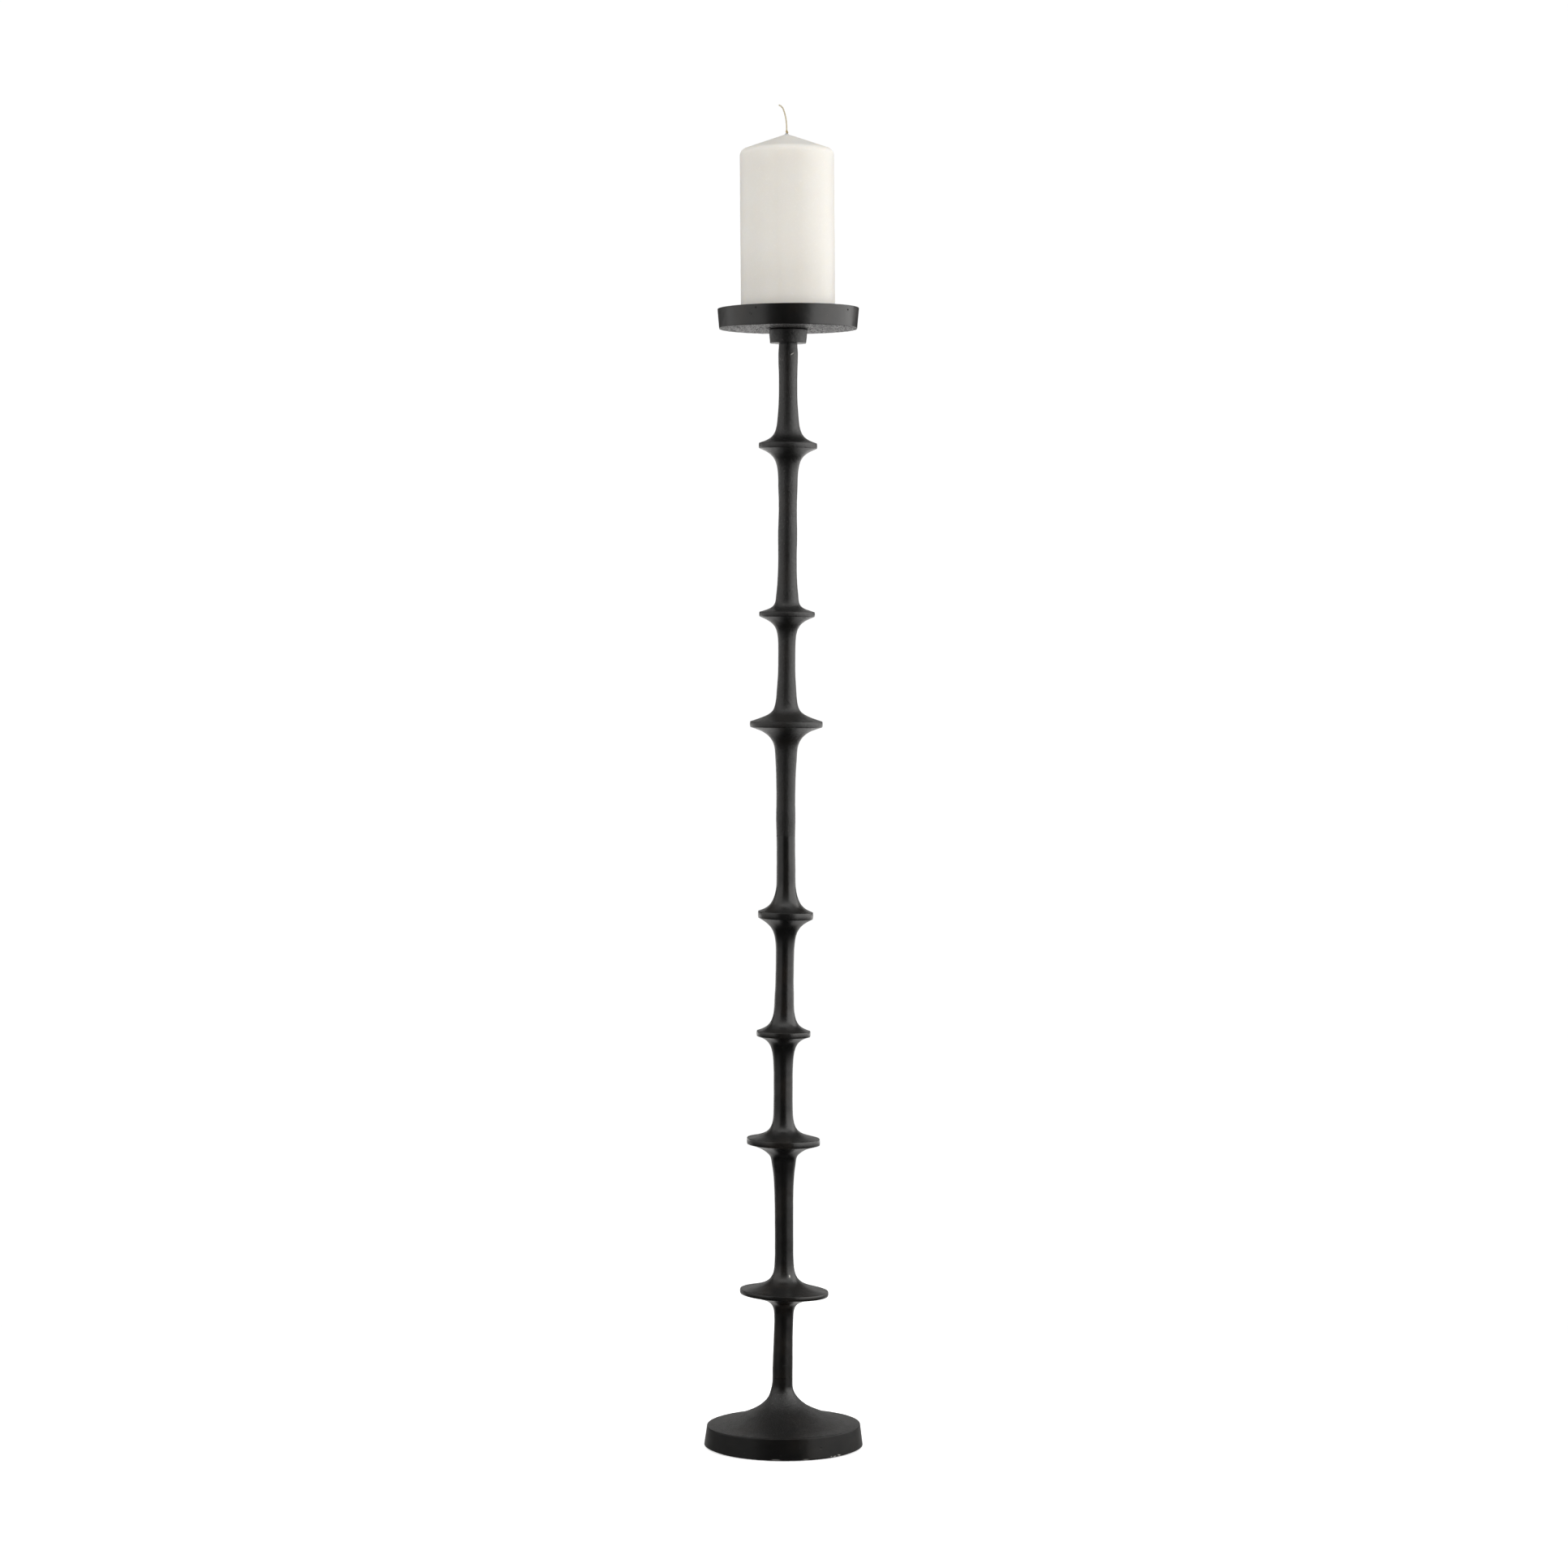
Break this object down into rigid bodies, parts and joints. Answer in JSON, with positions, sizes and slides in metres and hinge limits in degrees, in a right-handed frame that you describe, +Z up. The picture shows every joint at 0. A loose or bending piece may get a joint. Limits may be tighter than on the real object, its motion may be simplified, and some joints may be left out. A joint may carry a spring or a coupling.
{
  "type": "pillar candle holder",
  "caption": "Tall black cast-metal pillar candle holder: round bell foot, slim stem ringed with thin discs, tapered collar and shallow round pan, with a white pillar candle in it.",
  "frame": {"origin": "centre of the foot's underside, on the floor, under the stem's axis", "axes": "+Z up along the stem's axis, -Y towards the viewer, +X to the viewer's right; the wick's tip curls towards -X"},
  "size_m": [0.128, 0.128, 1.0767],
  "materials": {
    "rough_casting": "matte black with a sand-cast grain",
    "smooth_casting": "satin black with a fine cast skin",
    "steel": "zinc-plated satin",
    "felt": "pressed felt",
    "wax": "smooth satin wax",
    "cotton": "waxed braid",
    "tinplate": "tinned"
  },
  "bodies": {
    "holder": {"base": "rough_casting", "base_bolt": "steel", "base_washer": "steel", "spring_washer": "steel", "felt_pad": "felt", "lower_stem": "smooth_casting", "stem_stud": "steel", "upper_stem": "rough_casting", "pan_collar": "rough_casting", "pan": "smooth_casting", "pan_screw": "steel"},
    "candle_body": {"candle": "wax", "wick": "cotton", "wick_sustainer": "tinplate"}
  },
  "joints": [
    {"name": "candle_lift", "type": "slide", "parent": "holder", "child": "candle_body", "axis": [0, 0, 1], "range_m": [0, 0.06]}
  ]
}
